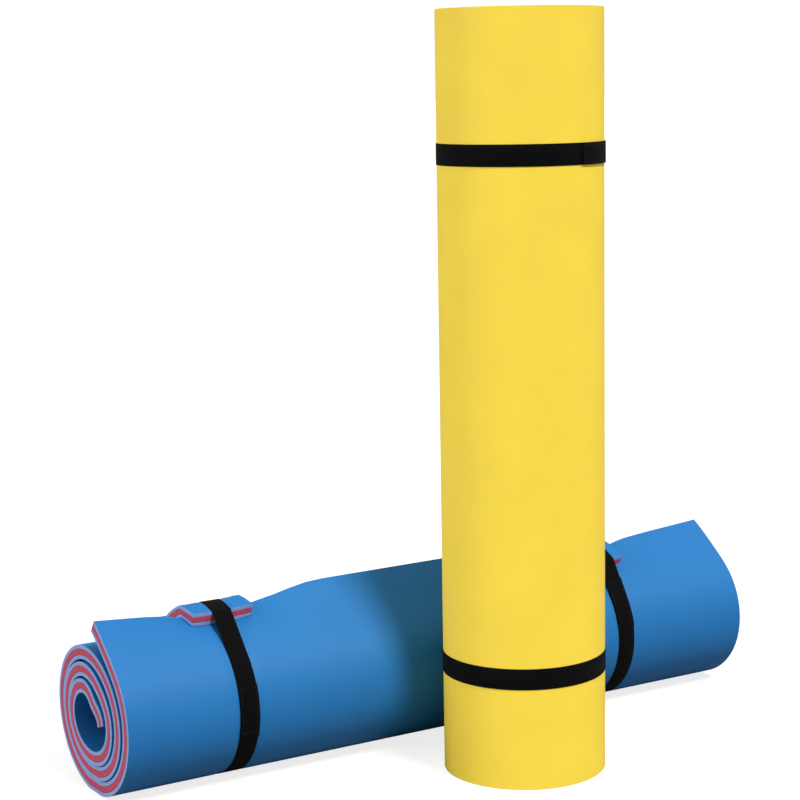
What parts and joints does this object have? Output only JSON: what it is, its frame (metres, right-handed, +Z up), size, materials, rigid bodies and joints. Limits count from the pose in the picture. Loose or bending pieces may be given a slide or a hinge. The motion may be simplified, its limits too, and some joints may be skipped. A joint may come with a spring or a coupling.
{
  "type": "swim float mat",
  "caption": "Rolled foam float mats for swimming: a blue roll lying on its side and a yellow roll standing in front of it, each held by hook-and-loop straps over foam pads.",
  "frame": {"origin": "on the floor, below the middle of the whole set", "axes": "+X along the blue roll, from the end that shows its winding in the picture to the other. +Y to the back, from the yellow roll towards the blue one. +Z up."},
  "size_m": [1.842, 0.8036, 1.83],
  "materials": {
    "blue_foam": "satin",
    "yellow_foam": "satin",
    "red_foam": "matte",
    "black_webbing": "matte",
    "black_patch": "matte"
  },
  "bodies": {
    "blue_mat": {"blue_mat_outer_skin": "blue_foam", "blue_mat_core": "red_foam", "blue_mat_inner_skin": "blue_foam", "blue_near_pad_outer_skin": "blue_foam", "blue_near_pad_core": "red_foam", "blue_near_pad_inner_skin": "blue_foam", "blue_near_strap_band": "black_webbing", "blue_near_strap_loop_patch": "black_patch", "blue_far_pad_outer_skin": "blue_foam", "blue_far_pad_core": "red_foam", "blue_far_pad_inner_skin": "blue_foam", "blue_far_strap_band": "black_webbing", "blue_far_strap_loop_patch": "black_patch"},
    "blue_near_tab": {"blue_near_strap_tab": "black_webbing", "blue_near_strap_hook_patch": "black_patch"},
    "blue_far_tab": {"blue_far_strap_tab": "black_webbing", "blue_far_strap_hook_patch": "black_patch"},
    "yellow_mat": {"yellow_mat_outer_skin": "yellow_foam", "yellow_mat_core": "red_foam", "yellow_mat_inner_skin": "yellow_foam"},
    "yellow_lower_strap": {"yellow_lower_strap_band": "black_webbing", "yellow_lower_strap_loop_patch": "black_patch", "yellow_lower_pad_outer_skin": "yellow_foam", "yellow_lower_pad_core": "red_foam", "yellow_lower_pad_inner_skin": "yellow_foam"},
    "yellow_upper_strap": {"yellow_upper_strap_band": "black_webbing", "yellow_upper_strap_loop_patch": "black_patch", "yellow_upper_pad_outer_skin": "yellow_foam", "yellow_upper_pad_core": "red_foam", "yellow_upper_pad_inner_skin": "yellow_foam"},
    "yellow_lower_tab": {"yellow_lower_strap_tab": "black_webbing", "yellow_lower_strap_hook_patch": "black_patch"},
    "yellow_upper_tab": {"yellow_upper_strap_tab": "black_webbing", "yellow_upper_strap_hook_patch": "black_patch"}
  },
  "joints": [
    {"name": "blue_near_tab_peel", "type": "hinge", "parent": "blue_mat", "child": "blue_near_tab", "pos_m": [-0.596, 0.00888, 0.12082], "axis": [1, 0, 0], "range_deg": [0, 110]},
    {"name": "blue_far_tab_peel", "type": "hinge", "parent": "blue_mat", "child": "blue_far_tab", "pos_m": [0.528, -0.00353, 0.21764], "axis": [1, 0, 0], "range_deg": [0, 110]},
    {"name": "yellow_mat_move", "type": "slide", "parent": "blue_mat", "child": "yellow_mat", "axis": [0, -1, 0], "range_m": [0, 0.45]},
    {"name": "yellow_lower_strap_slide", "type": "slide", "parent": "yellow_mat", "child": "yellow_lower_strap", "axis": [0, 0, 1], "range_m": [-0.14, 0.55]},
    {"name": "yellow_upper_strap_slide", "type": "slide", "parent": "yellow_mat", "child": "yellow_upper_strap", "axis": [0, 0, 1], "range_m": [-0.43, 0.21]},
    {"name": "yellow_lower_tab_peel", "type": "hinge", "parent": "yellow_lower_strap", "child": "yellow_lower_tab", "pos_m": [0.26079, -0.14257, 0.2708], "axis": [0, 0, 1], "range_deg": [0, 110]},
    {"name": "yellow_upper_tab_peel", "type": "hinge", "parent": "yellow_upper_strap", "child": "yellow_upper_tab", "pos_m": [0.21109, -0.32764, 1.496], "axis": [0, 0, 1], "range_deg": [0, 110]}
  ]
}
